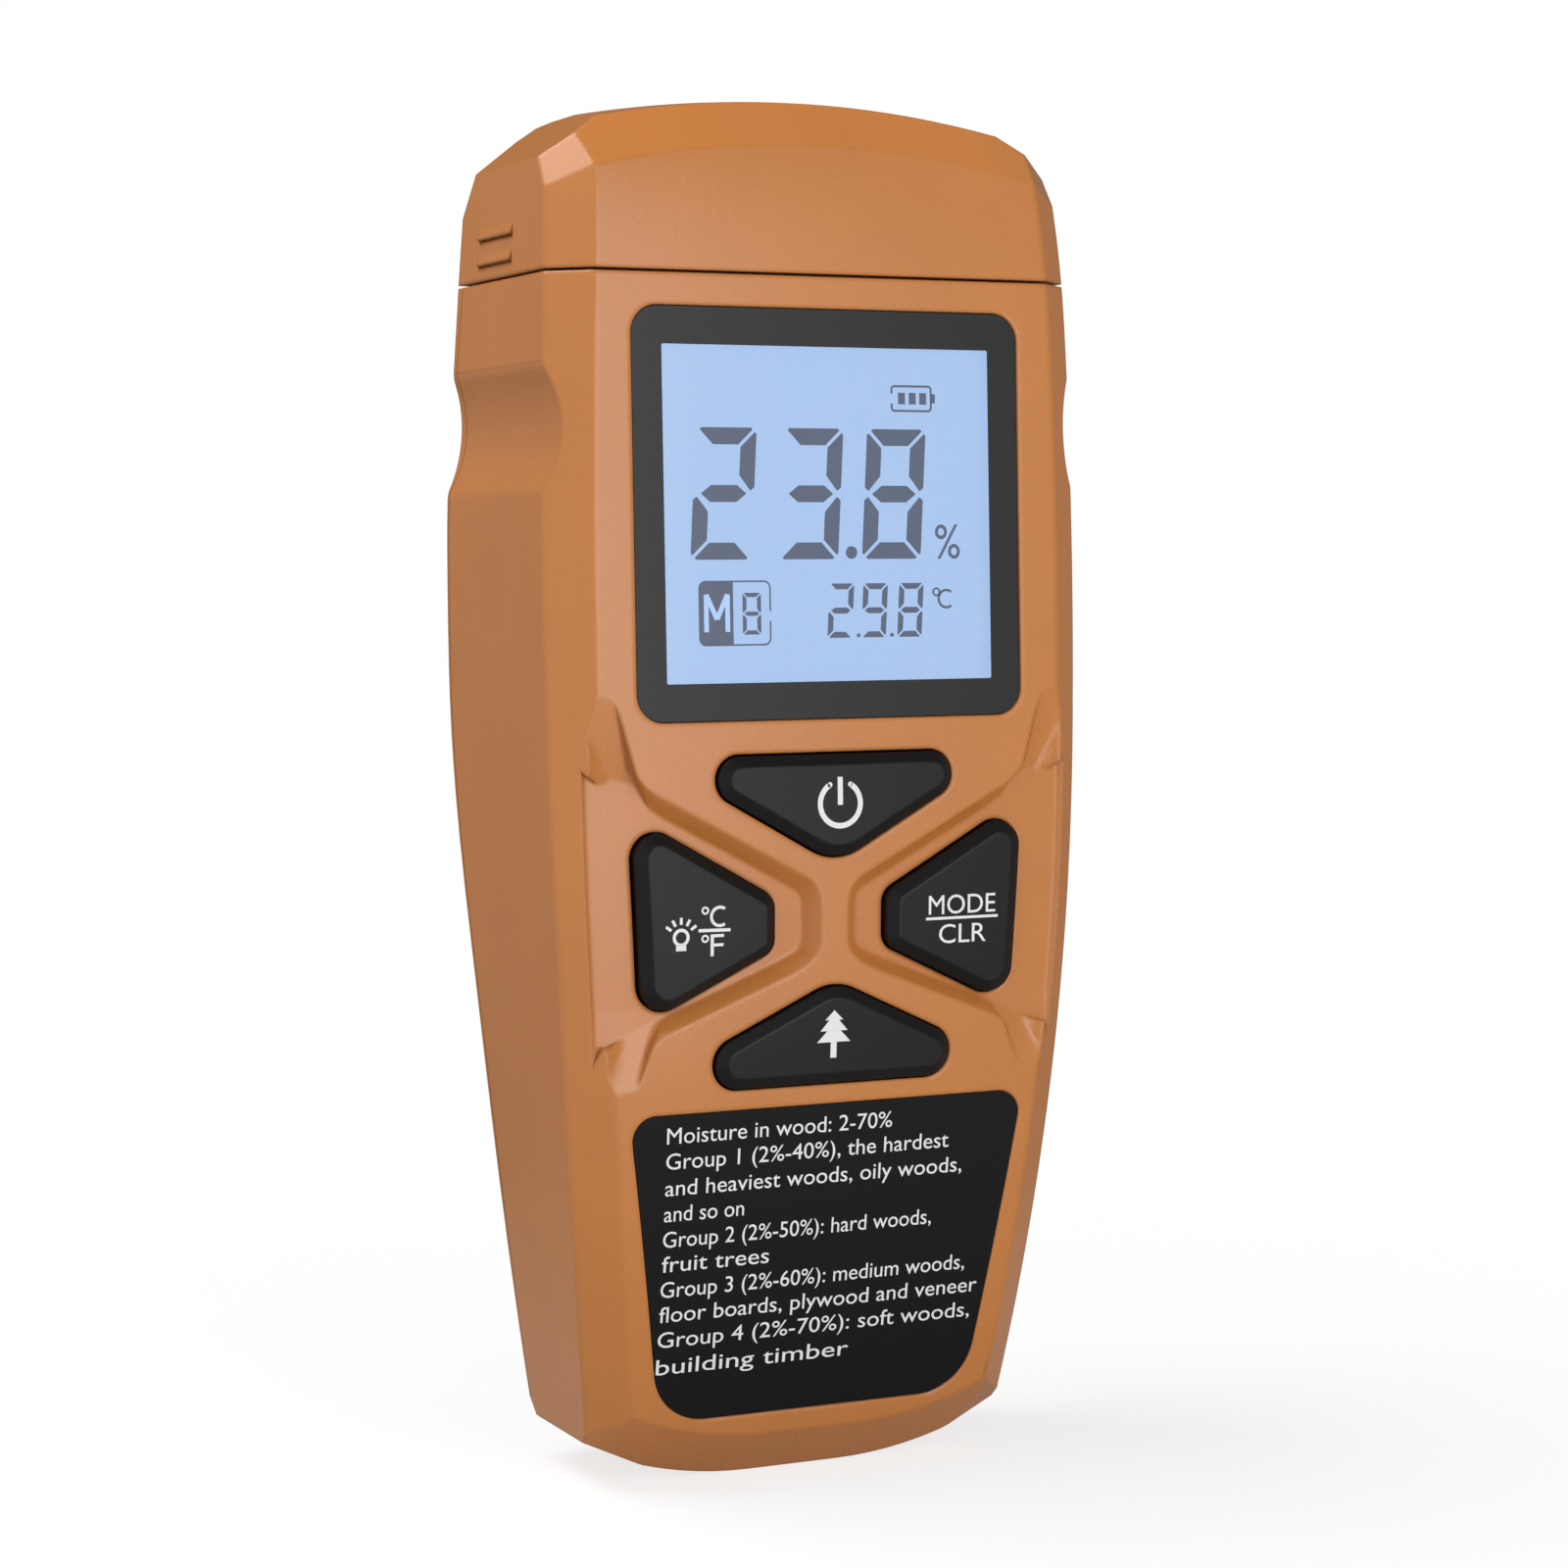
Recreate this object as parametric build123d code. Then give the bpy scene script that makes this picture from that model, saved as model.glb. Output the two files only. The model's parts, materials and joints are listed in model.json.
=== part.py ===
from build123d import *
import math
import os

# Pocket moisture meter. Millimetres, +Z up along the meter, front face towards -Y,
# origin at the middle of the base, with the depth centred on Y = 0.

# ---- outline, seen from the front -------------------------------------------
HEIGHT = 140.9
HALF_WIDTH = 29.5        # widest half width, at WIDEST_Z
WIDEST_Z = 90.6
SIDE_R = 620.0
TOP_R = 108.0
BASE_HALF = 5.0          # half width of the flat that the meter stands on
BASE_R = 38.0            # arc from the flat to the bottom corner
TOP_CORNER = ((28.0, 133.6), (22.35, 137.7))     # the straight cut across each corner
BOTTOM_CORNER = ((23.57, 4.85), (17.4, 2.0))

# ---- profile, seen from the side --------------------------------------------
FACE_LOW_Z = 75.0        # the front face is straight between these two heights
FACE_HIGH_Z = 118.0
FACE_Y = -16.35          # front face at FACE_LOW_Z
FACE_TILT = 1.57         # degrees that the straight stretch leans back
FACE_LOW_R = 300.0
FACE_HIGH_R = 80.0
BACK_Y = 17.6            # flat hip of the back
HIP_LOW_Z = 83.0
HIP_HIGH_Z = 96.0
CROWN_Y = 4.0            # the top is highest here, and falls to the front and back
CROWN_R = 86.0
BACK_LOWER = ((10.9, -2.0), (11.9, 26.0), (13.9, 50.0))
BACK_UPPER = ((15.5, 114.0), (13.7, 130.0), (12.4, 142.0))

# ---- bevels round the front and back ----------------------------------------
SIDE_BEVEL = (3.9, 3.5)      # across the face, then back along the side
FOOT_BEVEL = (5.0, 3.7)
TOP_BEVEL = (4.2, 3.7)
BACK_BEVEL = (3.6, 2.1)
EDGE_ROUND = 0.8
# Flat facets across the corners, one of each pair: a point on the facet, and its normal
FACETS = (
    ((24.1, -13.4, 132.8), (0.681, -0.591, 0.432)),
    ((27.3, 10.7, 133.0), (0.600, 0.600, 0.520)),
    ((19.2, -10.55, 7.2), (0.358, -0.635, -0.685)),
    ((23.2, 8.4, 5.4), (0.600, 0.600, -0.520)),
)

# ---- shells -----------------------------------------------------------------
FRONT_WALL = 2.8
SIDE_WALL = 2.5
BACK_WALL = 2.0
REAR_DEPTH = 2.5         # the rear shell meets the front shell this far from the back
SEAM_Z = 122.3           # seam between the cap and the case
SEAM_GAP = 0.3

# ---- grip notches, display, buttons, label ----------------------------------
NOTCH_Z = 107.0          # thumb notch in each side
NOTCH_R = 12.2
NOTCH_DEPTH = 1.5
NOTCH_BLEND = 2.5        # radius that leads from the side into the notch
CAP_GRIPS = ((127.9, 126.6), (125.2, 124.0))     # top and ledge height of each step
GRIP_Y = (-2.2, 7.4)
GRIP_RISE = 0.4
GRIP_GROOVE = (0.3, 0.5)     # height and depth of the groove under each step

POCKET_DEPTH = 1.8
POCKET_TAPER = 40.0      # degrees that the pocket walls lean outwards
POCKET_RIM_Y = -16.4
POCKET_SPREAD = 2.0      # how far in front of the rim the pocket's cutter starts
BUTTON_GAP = 0.25
BUTTON_RISE = 1.15
SIDE_BUTTON_SINK = 1.3   # the side buttons stand lower than the other two
BUTTON_BEVEL = (1.1, 0.75)
FLANGE = 0.8
STEM_R = 1.6
STEM_END_Y = -11.95
BUTTON_CENTRES = {
    "power_button": (0.0, 70.6),
    "species_button": (0.0, 45.4),
    "light_unit_button": (-14.4, 58.4),
    "mode_button": (14.4, 58.4),
}

LENS_HALF = 21.2
LENS_Z = (78.2, 118.9)
LENS_CORNER = 2.75
WINDOW_HALF = 18.0
WINDOW_Z = (81.9, 115.2)
GLASS_HALF = 19.3
GLASS_Z = (81.0, 116.0)
LENS_SINK = 0.15
MASK_THICK = 0.15
LENS_NEAR = LENS_SINK + MASK_THICK       # the lens lies behind its border
LENS_THICK = 1.1
LENS_FAR = LENS_NEAR + LENS_THICK
GLASS_NEAR = LENS_FAR + 0.05
GLASS_FAR = GLASS_NEAR + 1.8
LIGHT_NEAR = GLASS_FAR + 0.05
LIGHT_FAR = LIGHT_NEAR + 3.0
LIGHT_Z = (83.4, 115.0)
LABEL_SINK = 0.05
LABEL_THICK = 0.2

# ---- board, pins and battery ------------------------------------------------
BOARD_Y = (-7.4, -5.8)
SWITCH_HEIGHT = 4.0
PIN_X = 13.0
PIN_Y = -0.5
PIN_R = 1.5
PIN_TIP_Z = 135.2
BLOCK_HALF = 24.0        # collar that the cap slides over
BLOCK_DEPTH = (-11.0, 10.0)
BLOCK_TOP = 126.0
BLOCK_FOOT = 110.0
BLOCK_CORNER = 4.0
SHOULDER_Z = 119.6
FIT = 0.3
CELL_R = 5.1
CELL_X = 5.6
CELL_Y = 3.4
TAB_X = CELL_X
CELL_LENGTH = 44.5
BAY_HALF = 11.4
BAY_Z = (12.4, 61.2)
BAY_Y = -1.7
BAY_WALL = 1.2
DOOR_HALF = 12.9
DOOR_Z = (11.8, 62.2)
DOOR_GAP = 0.3
HINGE = (10.4, 12.8)     # Y and Z of the door's hinge line
HINGE_R = 0.8
FOOT_R = 1.0             # round of the door's foot about its hinge
SCREWS = ((23.0, 104.0), (17.5, 8.5))
SCREW_R = 1.0
HEAD_R = 2.0
BOSS_R = 2.3
SPLIT_Y = 4.0            # where the front and rear screw bosses meet
BOARD_SCREW = (15.0, 20.0)

BIG = 90.0               # larger than half of the meter in any direction
SLOPE = math.tan(math.radians(FACE_TILT))


def face_y(z):
    """Y of the front face at height z."""
    if z < FACE_LOW_Z:
        below = FACE_LOW_Z - z
        return FACE_Y - SLOPE * below + below**2 / (2 * FACE_LOW_R)
    rise = FACE_Y + SLOPE * (z - FACE_LOW_Z)
    above = max(0.0, z - FACE_HIGH_Z)
    return rise + above**2 / (2 * FACE_HIGH_R)


def side_x(z):
    """Half width of the outline at height z."""
    return HALF_WIDTH - (z - WIDEST_Z) ** 2 / (2 * SIDE_R)


def prism_y(shape, y0, y1):
    """A shape drawn in X and Z, made solid from y0 to y1."""
    return Pos(0, y0, 0) * extrude(Plane.XZ * shape, amount=-(y1 - y0))


def prism_x(shape, x0, x1):
    """A shape drawn in Y and Z, made solid from x0 to x1."""
    return Pos(x0, 0, 0) * extrude(Plane.YZ * shape, amount=x1 - x0)


def block(x0, x1, y0, y1, z0, z1):
    """A box between two corners."""
    return Pos((x0 + x1) / 2, (y0 + y1) / 2, (z0 + z1) / 2) * Box(x1 - x0, y1 - y0, z1 - z0)


def rounded(points, radii):
    """A closed polygon with its own radius at each corner."""
    return make_face(FilletPolyline(*points, radius=radii, close=True).edges())


def mirrored(shape):
    """A shape together with its mirror image across the YZ plane."""
    return [shape, mirror(shape, about=Plane.YZ)]


def square_outline(inset):
    """The outline with sharp corners, moved inwards by inset."""
    x_low = side_x(3.5) - inset
    x_high = side_x(136.0) - inset
    top = HEIGHT - inset
    z_high = top - x_high**2 / (2 * TOP_R)
    base_end = (x_low, inset + (x_low - BASE_HALF) ** 2 / (2 * BASE_R))
    right = ThreePointArc(base_end, (side_x(70.0) - inset, 70.0), (x_high, z_high))
    left = ThreePointArc((-x_high, z_high), (-side_x(70.0) + inset, 70.0), (-base_end[0], base_end[1]))
    over = ThreePointArc((x_high, z_high), (0, top), (-x_high, z_high))
    foot_left = TangentArc((-BASE_HALF, inset), (-base_end[0], base_end[1]), tangent=(-1, 0))
    foot = Line((-BASE_HALF, inset), (BASE_HALF, inset))
    foot_right = TangentArc((BASE_HALF, inset), base_end, tangent=(1, 0))
    return make_face([*right.edges(), *over.edges(), *left.edges(), *foot_left.edges(),
                      *foot.edges(), *foot_right.edges()])


def side_profile(front_inset, back_inset):
    """The side view, moved inwards at the front and at the back."""
    front = FACE_Y + front_inset
    high = (front + SLOPE * (FACE_HIGH_Z - FACE_LOW_Z), FACE_HIGH_Z)
    low = (front, FACE_LOW_Z)
    bottom = (face_y(-2.0) + front_inset, -2.0)
    top = (face_y(142.0) + front_inset, 142.0)
    back = BACK_Y - back_inset
    lower = [(y - back_inset, z) for y, z in BACK_LOWER]
    upper = [(y - back_inset, z) for y, z in BACK_UPPER]
    edges = [
        *TangentArc(low, bottom, tangent=(-SLOPE, -1)).edges(),
        *Line(low, high).edges(),
        *TangentArc(high, top, tangent=(SLOPE, 1)).edges(),
        *Line(top, upper[-1]).edges(),
        *Spline((back, HIP_HIGH_Z), *upper, tangents=((0, 1), (-0.1, 1))).edges(),
        *Line((back, HIP_LOW_Z), (back, HIP_HIGH_Z)).edges(),
        *Spline(*lower, (back, HIP_LOW_Z), tangents=((0.02, 1), (0, 1))).edges(),
        *Line(bottom, lower[0]).edges(),
    ]
    return make_face(edges)


def half_space(point, normal, inset):
    """Everything beyond the plane through a point, moved inwards by inset."""
    plane = Plane(origin=point, z_dir=normal)
    return plane * Pos(0, 0, BIG / 2 - inset) * Box(BIG, BIG, BIG)


def corner_offcut(corner, up, inset):
    """The wedge beyond the straight cut across one corner of the outline."""
    (x0, z0), (x1, z1) = [(x - inset, z - inset * up) for x, z in corner]
    run, rise = x1 - x0, z1 - z0
    before = (x0 - run, z0 - rise)
    after = (x1 + run, z1 + rise)
    beyond = (x0 + 2 * abs(run), z1 + 2 * abs(run) * up)
    return prism_y(make_face(Polyline(before, after, beyond, close=True).edges()), -BIG / 2, BIG / 2)


def above_crown(inset):
    """Everything above the top, which is rounded from side to side and from front to back."""
    top = HEIGHT - inset
    end = (BIG / 2, top - (BIG / 2) ** 2 / (2 * TOP_R))
    axle = HEIGHT - CROWN_R
    arc = ThreePointArc((-end[0], end[1]), (0, top), end)
    rest = Polyline(end, (end[0], axle + 5), (-end[0], axle + 5), (-end[0], end[1]))
    upright = Plane(origin=(0, CROWN_Y, 0), x_dir=(1, 0, 0), z_dir=(0, -1, 0))
    face = upright * make_face([*arc.edges(), *rest.edges()])
    barrel = revolve(face, Axis((0, CROWN_Y, axle), (1, 0, 0)), 360)
    return block(-BIG / 2, BIG / 2, -BIG / 2, BIG / 2, HEIGHT - 30, HEIGHT + 20) - barrel


def is_front(face):
    """True for the faces that look towards -Y."""
    return face.center().Y < -8 and face.normal_at().Y < -0.9


def is_back(face):
    """True for the faces that look towards +Y."""
    return face.center().Y > 8 and face.normal_at().Y > 0.9


def bevel_sides(body, looks, bevel, middle_z):
    """Bevel the long edges on both sides of the front or the back."""
    for index in (0, -1):
        face = body.faces().filter_by(looks).sort_by(lambda f: abs(f.center().Z - middle_z))[0]
        edge = face.edges().sort_by(Axis.X)[index]
        body = chamfer(edge, bevel[0], bevel[1], reference=face)
    return body


def bevel_ends(body, looks, low, high):
    """Bevel the lower and the upper edge of the front or the back."""
    for index, bevel in ((0, low), (-1, high)):
        face = body.faces().filter_by(looks).sort_by(Axis.Z)[index]
        edge = face.edges().sort_by(Axis.Z)[index]
        body = chamfer(edge, bevel[0], bevel[1], reference=face)
    return body


def crease(body, edge):
    """The angle between the two faces that meet at an edge, in degrees."""
    faces = [face for face in body.faces() if any(edge.is_same(other) for other in face.edges())]
    if len(faces) != 2:
        return 0.0
    middle = edge @ 0.5
    cosine = faces[0].normal_at(middle).dot(faces[1].normal_at(middle))
    return math.degrees(math.acos(max(-1.0, min(1.0, cosine))))


def soften(body):
    """Round the long edges of the front bevels."""
    long = body.edges().filter_by(lambda e: 25 < e.center().Z < 125 and e.center().Y < -4)
    return fillet(ShapeList([edge for edge in long if crease(body, edge) > 5]), EDGE_ROUND)


def skin(side_inset, front_inset, back_inset):
    """The whole meter's bevelled form, moved inwards on each side."""
    body = prism_y(square_outline(side_inset), -BIG / 2, BIG / 2)
    body = body & prism_x(side_profile(front_inset, back_inset), -BIG / 2, BIG / 2)
    body = body - above_crown(side_inset)
    body = bevel_sides(body, is_front, SIDE_BEVEL, 96.0)
    body = bevel_ends(body, is_front, FOOT_BEVEL, TOP_BEVEL)
    if side_inset == 0:
        body = soften(body)
    body = bevel_sides(body, is_back, BACK_BEVEL, 89.0)
    body = bevel_ends(body, is_back, BACK_BEVEL, BACK_BEVEL)
    cuts = []
    for corner, up in ((TOP_CORNER, 1), (BOTTOM_CORNER, -1)):
        cuts += mirrored(corner_offcut(corner, up, side_inset))
    for point, normal in FACETS:
        cuts += mirrored(half_space(point, normal, side_inset))
    return body - cuts


def behind_face(depth):
    """Everything more than depth behind the front face."""
    return prism_x(side_profile(depth, 0), -BIG / 2, BIG / 2)


def skin_band(shape, near, far):
    """A shape drawn in X and Z, as a sheet between two depths behind the face."""
    solid = prism_y(shape, -BIG / 2, 0)
    return (solid & behind_face(near)) - behind_face(far)


def grown(corners, radii, grow):
    """A rounded outline, grown by grow."""
    face = rounded(corners, radii)
    if grow == 0:
        return face
    return offset(face, amount=grow)


def top_outline(grow):
    """The power button: a long triangle that points down."""
    return grown([(-20.3, 74.9), (20.3, 74.9), (0, 63.4)], [2.56, 2.56, 5.5], grow)


def bottom_outline(grow):
    """The species button: a long triangle that points up."""
    return grown([(-22.8, 41.2), (22.8, 41.2), (0, 52.0)], [2.77, 2.77, 5.0], grow)


def left_outline(grow):
    """The button on the left: its mirror image is the one on the right."""
    corners = [(-21.9, 69.5), (-6.0, 60.5), (-6.0, 54.9), (-20.7, 47.8)]
    return grown(corners, [2.7, 2.1, 2.1, 2.9], grow)


def right_outline(grow):
    """The button on the right."""
    return mirror(left_outline(grow), about=Plane.YZ)


def pocket_outline():
    """The sunk area round the left button, where its walls cross POCKET_RIM_Y."""
    inner = [(-25.0, 74.1), (-1.5, 61.5), (-1.3, 53.8), (-23.7, 44.5)]
    low_end = [(-27.6, 29.0), (-31.0, 29.0), (-27.1, 45.0)]      # both ends run out past the side bevel
    high_end = [(-27.9, 75.0), (-33.0, 92.0), (-29.5, 92.0)]
    radii = [7.5, 3.2, 3.2, 5.0, 0.3, 0.3, 8.0, 8.0, 0.3, 0.3]
    return rounded(inner + low_end + high_end, radii)


def pocket():
    """The cut for the left pocket: a floor that follows the face, and sloping walls."""
    outline = offset(pocket_outline(), amount=POCKET_SPREAD * math.tan(math.radians(POCKET_TAPER)))
    cutter = extrude(Plane.XZ * outline, amount=-2.1 * POCKET_SPREAD, taper=POCKET_TAPER)
    return Pos(0, POCKET_RIM_Y - POCKET_SPREAD, 0) * cutter - behind_face(POCKET_DEPTH)


def notch():
    """The thumb notch on the left side: a hollow arc between two blends."""
    side = -side_x(NOTCH_Z)
    blend_x = side + NOTCH_BLEND
    hollow_x = side + NOTCH_DEPTH - NOTCH_R
    height = math.sqrt((NOTCH_R + NOTCH_BLEND) ** 2 - (blend_x - hollow_x) ** 2)
    turn = math.atan2(height, blend_x - hollow_x)

    def on_blend(angle, up):
        x = blend_x - NOTCH_BLEND * math.cos(angle)
        return (x, up * (height - NOTCH_BLEND * math.sin(angle)))

    edges = [
        *ThreePointArc(on_blend(0, 1), on_blend(turn / 2, 1), on_blend(turn, 1)).edges(),
        *ThreePointArc(on_blend(turn, 1), (side + NOTCH_DEPTH, 0), on_blend(turn, -1)).edges(),
        *ThreePointArc(on_blend(turn, -1), on_blend(turn / 2, -1), on_blend(0, -1)).edges(),
        *Polyline(on_blend(0, -1), (side - 3, -height), (side - 3, height), on_blend(0, 1)).edges(),
    ]
    lean = math.degrees((NOTCH_Z - WIDEST_Z) / SIDE_R)
    cut = prism_y(make_face(edges), -BIG / 2, BIG / 2)
    return Pos(side, 0, NOTCH_Z) * Rot(0, lean, 0) * Pos(-side, 0, 0) * cut


def grip_step(top, ledge):
    """A wedge on the left side of the cap, thickest at its lower ledge."""
    inner = -side_x(ledge) + 1.0
    wedge = Polyline((inner, top), (-side_x(top), top), (-side_x(ledge) - GRIP_RISE, ledge),
                     (inner, ledge), close=True)
    return prism_y(make_face(wedge.edges()), *GRIP_Y)


def grip_groove(ledge):
    """The fine groove under one ledge on the left side of the cap."""
    height, depth = GRIP_GROOVE
    outer = -side_x(ledge)
    return block(outer - 2, outer + depth, GRIP_Y[0], GRIP_Y[1], ledge - height, ledge)


def lens_outline(grow):
    """The display lens, seen from the front."""
    middle = (LENS_Z[0] + LENS_Z[1]) / 2
    size = LENS_Z[1] - LENS_Z[0] + 2 * grow
    return Pos(0, middle) * RectangleRounded(2 * LENS_HALF + 2 * grow, size, LENS_CORNER + grow)


def label_outline(grow):
    """The information label: it narrows downwards and has large lower corners."""
    corners = [(-21.9, 39.2), (21.9, 39.2), (17.2, 7.2), (-17.2, 7.2)]
    return grown(corners, [2.4, 2.4, 6.0, 6.0], grow)


def screw_places():
    """The four case screws, in X and Z."""
    return [(sign * x, z) for x, z in SCREWS for sign in (-1, 1)]


def rod_y(x, z, radius, y0, y1):
    """A round bar along Y."""
    return Pos(x, (y0 + y1) / 2, z) * Rot(90, 0, 0) * Cylinder(radius, y1 - y0)


def rod_x(radius, half):
    """A round bar along the door's hinge line."""
    return Pos(0, *HINGE) * Rot(0, 90, 0) * Cylinder(radius, 2 * half)


def rod_z(x, y, radius, z0, z1):
    """A round bar along Z."""
    return Pos(x, y, (z0 + z1) / 2) * Cylinder(radius, z1 - z0)


# ---- the three shells -------------------------------------------------------

def screw_bores(y0, y1, radius):
    """One bore for each case screw."""
    return [rod_y(x, z, radius, y0, y1) for x, z in screw_places()]


def front_openings():
    """Everything cut through or into the front wall."""
    cuts = [skin_band(lens_outline(0.1), -5.0, LENS_FAR)]
    cuts.append(block(-GLASS_HALF - 0.2, GLASS_HALF + 0.2, -20, -8, GLASS_Z[0] - 0.2, GLASS_Z[1] + 0.2))
    for outline in (top_outline, bottom_outline, left_outline, right_outline):
        cuts.append(prism_y(outline(0), -BIG / 2, -8))
    cuts.append(skin_band(label_outline(0.1), -5.0, LABEL_SINK + LABEL_THICK))
    return cuts


def hollowed(body, inner):
    """Part of the case with its cavity, its opening for the pin block and the notches."""
    cavity = inner & block(-BIG, BIG, -BIG, BIG, 0, SHOULDER_Z)
    neck = Pos(0, (BLOCK_DEPTH[0] + BLOCK_DEPTH[1]) / 2, 0) * Plane.XY * RectangleRounded(
        2 * BLOCK_HALF + 0.2, BLOCK_DEPTH[1] - BLOCK_DEPTH[0] + 0.2, BLOCK_CORNER + 0.1)
    return body - cavity - Pos(0, 0, SHOULDER_Z - 1) * extrude(neck, amount=5) - mirrored(notch())


def front_case(case, inner, front_zone):
    """Front shell, with the display recess, button holes, pockets and bosses."""
    shell = hollowed(case & front_zone, inner)
    room = inner & front_zone
    bosses = [rod_y(x, z, BOSS_R, -20, SPLIT_Y) for x, z in screw_places()]
    stands = [rod_y(sign * BOARD_SCREW[0], BOARD_SCREW[1], BOSS_R, -20, BOARD_Y[0]) for sign in (-1, 1)]
    solid = [boss & (shell + room) for boss in bosses + stands]
    shell = shell + solid
    holes = screw_bores(-7.0, SPLIT_Y + 1, SCREW_R)
    holes += [rod_y(sign * BOARD_SCREW[0], BOARD_SCREW[1], SCREW_R, -9.6, 0) for sign in (-1, 1)]
    shell = shell - holes - mirrored(pocket())
    return shell - front_openings()


def rear_case(case, inner, spare, front_zone):
    """Rear shell, with the battery bay, its opening and the screw wells."""
    shell = hollowed(case - front_zone, inner)
    wells = [rod_y(x, z, BOSS_R + 0.7, SPLIT_Y, 20) for x, z in screw_places()]
    bay = block(-BAY_HALF - 2.8, BAY_HALF + 2.8, BAY_Y - BAY_WALL, 20, BAY_Z[0] - 2.0, BAY_Z[1] + 2.4)
    room = (shell + (inner - front_zone)) & block(-BIG, BIG, -BIG, BIG, 0, SHOULDER_Z)
    ahead = spare & front_zone & block(-BIG, BIG, -BIG, BIG, 0, SHOULDER_Z)
    for piece in wells + [bay]:
        shell = shell + (piece & room) + (piece & ahead)
    shell = shell - block(-BAY_HALF, BAY_HALF, BAY_Y, 20, *BAY_Z)
    shell = shell - door_body(DOOR_GAP)
    half = DOOR_HALF + DOOR_GAP
    shell = shell - block(-half, half, HINGE[0] - 1.7, 20, DOOR_Z[0] - DOOR_GAP, HINGE[1])
    shell = shell - rod_x(HINGE_R + 0.05, DOOR_HALF + 1.1)
    shell = shell - [block(sign * TAB_X - 1.6, sign * TAB_X + 1.6, 0.9, 1.5, 60, 66) for sign in (-1, 1)]
    shell = shell - screw_bores(SPLIT_Y - 1, 20, SCREW_R + 0.15)
    return shell - screw_bores(SPLIT_Y + 1.6, 20, HEAD_R + 0.15)


def pin_cap(outer, inner):
    """The cap: a deep shell with ribs that ride on the pin block."""
    zone = block(-BIG, BIG, -BIG, BIG, SEAM_Z + SEAM_GAP / 2, 150)
    cap = (outer & zone) - (inner & zone)
    ribs = []
    for x in (-16.0, 0.0, 16.0):
        ribs.append(block(x - 0.8, x + 0.8, BLOCK_DEPTH[1] + FIT, 20, SEAM_Z + 1.5, 132))
        ribs.append(block(x - 0.8, x + 0.8, -20, BLOCK_DEPTH[0] - FIT, SEAM_Z + 1.5, 132))
    cap = cap + [rib & inner for rib in ribs]
    for top, ledge in CAP_GRIPS:
        cap = cap + mirrored(grip_step(top, ledge))
        cap = cap - mirrored(grip_groove(ledge))
    return cap


# ---- display ----------------------------------------------------------------

def display_lens():
    """Clear sheet behind the border."""
    return skin_band(lens_outline(0), LENS_NEAR, LENS_FAR)


def window_outline():
    """The clear window inside the black border."""
    middle = (WINDOW_Z[0] + WINDOW_Z[1]) / 2
    return Pos(0, middle) * RectangleRounded(2 * WINDOW_HALF, WINDOW_Z[1] - WINDOW_Z[0], 0.2)


def display_mask():
    """The black border in front of the lens."""
    return skin_band(lens_outline(0) - window_outline(), LENS_SINK, LENS_NEAR)


def display_sheet(half, z0, z1, near, far):
    """A flat sheet parallel to the lens, between two depths behind the face."""
    outline = Pos(0, (z0 + z1) / 2) * Rectangle(2 * half, z1 - z0)
    return skin_band(outline, near, far)


def lcd_panel():
    """The liquid-crystal glass."""
    return display_sheet(GLASS_HALF, *GLASS_Z, GLASS_NEAR, GLASS_FAR)


def backlight_plate():
    """The light guide behind the glass."""
    return display_sheet(GLASS_HALF - 0.5, *LIGHT_Z, LIGHT_NEAR, LIGHT_FAR)


def contact_strip():
    """Elastomer strip from the lower edge of the glass to the board."""
    strip = block(-17, 17, -20, BOARD_Y[0], GLASS_Z[0] + 0.3, GLASS_Z[0] + 1.9)
    return strip & behind_face(GLASS_FAR)


def backlight_lamp():
    """The lamp at the upper edge of the light guide."""
    lamp = block(-1.8, 1.8, -20, 0, LIGHT_Z[1] + 0.1, LIGHT_Z[1] + 1.0)
    return (lamp & behind_face(LIGHT_NEAR + 0.5)) - behind_face(LIGHT_FAR - 0.5)


def lamp_room():
    """The notch in the frame for the lamp."""
    return block(-2.0, 2.0, -20, 0, LIGHT_Z[1], LIGHT_Z[1] + 1.1) & behind_face(LIGHT_NEAR)


def display_frame():
    """Plastic frame that holds the glass and the light guide off the board."""
    frame = block(-GLASS_HALF - 1, GLASS_HALF + 1, -20, BOARD_Y[0], GLASS_Z[0] - 1.2, GLASS_Z[1] + 1.2)
    frame = frame & behind_face(FRONT_WALL + 0.05)
    low, high = GLASS_Z
    frame = frame - display_sheet(GLASS_HALF + 0.15, low - 0.15, high + 0.15, -1, LIGHT_NEAR)
    frame = frame - display_sheet(GLASS_HALF - 0.4, low + 0.2, high - 0.2, LIGHT_NEAR - 1, LIGHT_FAR + 0.05)
    return frame - block(-17.1, 17.1, -20, 0, GLASS_Z[0] + 0.2, GLASS_Z[0] + 2.0) - lamp_room()


# ---- buttons and label ------------------------------------------------------

def button(inner, outline, sunk, name):
    """One rubber button: a bevelled top, a flange behind the wall and a stem."""
    x, z = BUTTON_CENTRES[name]
    top = skin_band(outline(-BUTTON_GAP), sunk - BUTTON_RISE, FRONT_WALL + 0.1)
    face = top.faces().filter_by(is_front).sort_by(Axis.Y)[0]
    top = chamfer(face.edges(), BUTTON_BEVEL[0], BUTTON_BEVEL[1], reference=face)
    flange = skin_band(outline(1.0), FRONT_WALL + 0.1, FRONT_WALL + 0.1 + FLANGE)
    flange = flange & (Pos(0, 0.3, 0) * inner)
    stem = rod_y(x, z, STEM_R, face_y(z) + FRONT_WALL, STEM_END_Y)
    return top + flange + stem


def information_label():
    """The label in its shallow recess."""
    return skin_band(label_outline(0), LABEL_SINK, LABEL_SINK + LABEL_THICK)


# ---- board ------------------------------------------------------------------

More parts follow.
